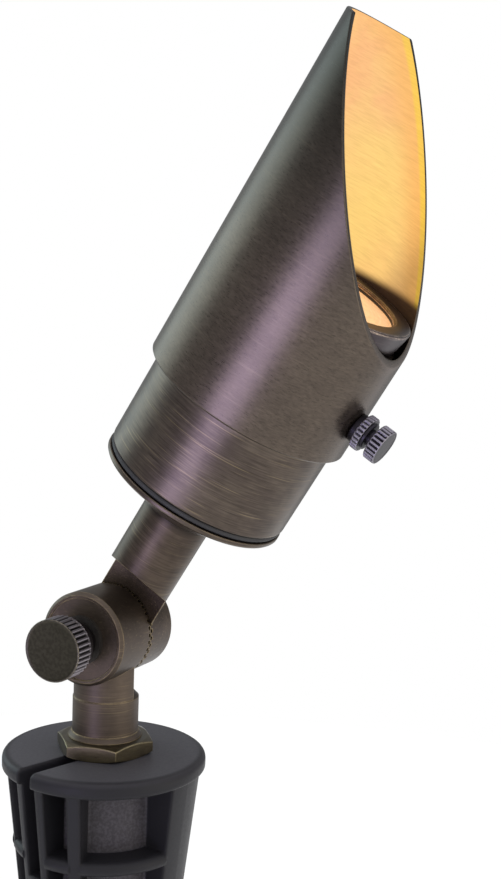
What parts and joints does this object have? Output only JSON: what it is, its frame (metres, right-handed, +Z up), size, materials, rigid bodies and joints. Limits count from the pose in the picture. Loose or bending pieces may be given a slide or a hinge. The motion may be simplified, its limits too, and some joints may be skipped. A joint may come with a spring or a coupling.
{
  "type": "garden spike spotlight",
  "caption": "Low-voltage outdoor spotlight: slant-cut sliding glare shroud over a round housing, serrated tilt knuckle with knob, threaded stem, lock nut and ground spike.",
  "frame": {"origin": "on the stem axis at the underside of the spike's top lip, the ground line", "axes": "+Z up along the stem, +Y along the knuckle axis away from the knob, +X toward the side the head leans to"},
  "size_m": [0.127, 0.065, 0.4215],
  "materials": {
    "bronze": "brushed antique bronze with worn edges",
    "shroud_bronze": "brushed antique bronze with worn edges, same metal as the housing",
    "nut_brass": "aged brass, bright on its edges",
    "dark_metal": "dark blackened metal, knurled",
    "bright_steel": "plain brushed steel",
    "spike_plastic": "black moulded plastic, matte",
    "black_rubber": "black rubber",
    "lens_glass": "clear tempered glass",
    "optic_clear": "clear moulded optic",
    "lamp_grey": "dark grey coated aluminium",
    "light_chip": "yellow light chip, lit",
    "board_white": "white coated board",
    "ivory_ceramic": "ivory ceramic",
    "lead_sleeve": "sleeved wire",
    "tip_nylon": "natural nylon"
  },
  "bodies": {
    "spike": {"ground_spike": "spike_plastic"},
    "nut": {"lock_nut": "nut_brass"},
    "stem": {"stem_knuckle": "bronze"},
    "knob_washer": {"knuckle_washer": "bright_steel"},
    "knob": {"knuckle_knob": "dark_metal"},
    "head": {"arm_knuckle": "bronze", "rear_cap": "bronze", "cap_seal_ring": "black_rubber", "housing": "bronze", "lens_ring": "bronze", "lens_gasket": "black_rubber", "lens_glass": "lens_glass", "lamp_face_ring": "lamp_grey", "lamp_optic": "optic_clear", "lamp_light_chips": "light_chip", "lamp_chip_board": "board_white", "lamp_cooler": "lamp_grey", "lamp_base": "ivory_ceramic", "lamp_pins": "bright_steel", "lamp_socket": "ivory_ceramic", "socket_bracket": "bright_steel", "bracket_screws": "bright_steel", "socket_leads": "lead_sleeve", "arm_grommet": "black_rubber"},
    "slip_ring": {"shroud_slip_ring": "black_rubber"},
    "glare_shroud": {"shroud": "shroud_bronze"},
    "screw_tip": {"shroud_screw_tip": "tip_nylon"},
    "screw": {"shroud_screw": "dark_metal"},
    "lock_ring": {"shroud_lock_ring": "dark_metal"}
  },
  "joints": [
    {"name": "stem_swivel", "type": "hinge", "parent": "spike", "child": "stem", "pos_m": [0, 0, 0.0099], "axis": [0, 0, 1], "range_deg": [-180, 180]},
    {"name": "lock_nut_turn", "type": "hinge", "parent": "spike", "child": "nut", "pos_m": [0, 0, 0.005], "axis": [0, 0, 1], "range_deg": [-180, 180]},
    {"name": "head_tilt", "type": "hinge", "parent": "stem", "child": "head", "pos_m": [0, 0, 0.044], "axis": [0, 1, 0], "range_deg": [-121.5, 58.5]},
    {"name": "knob_travel", "type": "slide", "parent": "stem", "child": "knob_washer", "axis": [0, -1, 0], "range_m": [0, 0.00187]},
    {"name": "knob_turn", "type": "hinge", "parent": "knob_washer", "child": "knob", "pos_m": [0, 0, 0.044], "axis": [0, -1, 0], "range_deg": [0, 540]},
    {"name": "shroud_turn", "type": "hinge", "parent": "head", "child": "slip_ring", "pos_m": [0.05852, 0, 0.1395], "axis": [0.5225, 0, 0.8526], "continuous": true},
    {"name": "shroud_slide", "type": "slide", "parent": "slip_ring", "child": "glare_shroud", "axis": [0.5225, 0, 0.8526], "range_m": [-0.028, 0.006]},
    {"name": "screw_travel", "type": "slide", "parent": "glare_shroud", "child": "screw_tip", "axis": [0.8526, 0, -0.5225], "range_m": [0, 0.00119]},
    {"name": "screw_turn", "type": "hinge", "parent": "screw_tip", "child": "screw", "pos_m": [0.07955, 0, 0.1164], "axis": [0.8526, 0, -0.5225], "range_deg": [0, 540]},
    {"name": "lock_ring_turn", "type": "hinge", "parent": "glare_shroud", "child": "lock_ring", "pos_m": [0.08211, 0, 0.11484], "axis": [0.8526, 0, -0.5225], "continuous": true}
  ],
  "couplings": [
    {"joint": "knob_turn", "follows": "knob_travel", "rad_per_m": 5026.5},
    {"joint": "screw_turn", "follows": "screw_travel", "rad_per_m": 7854}
  ]
}
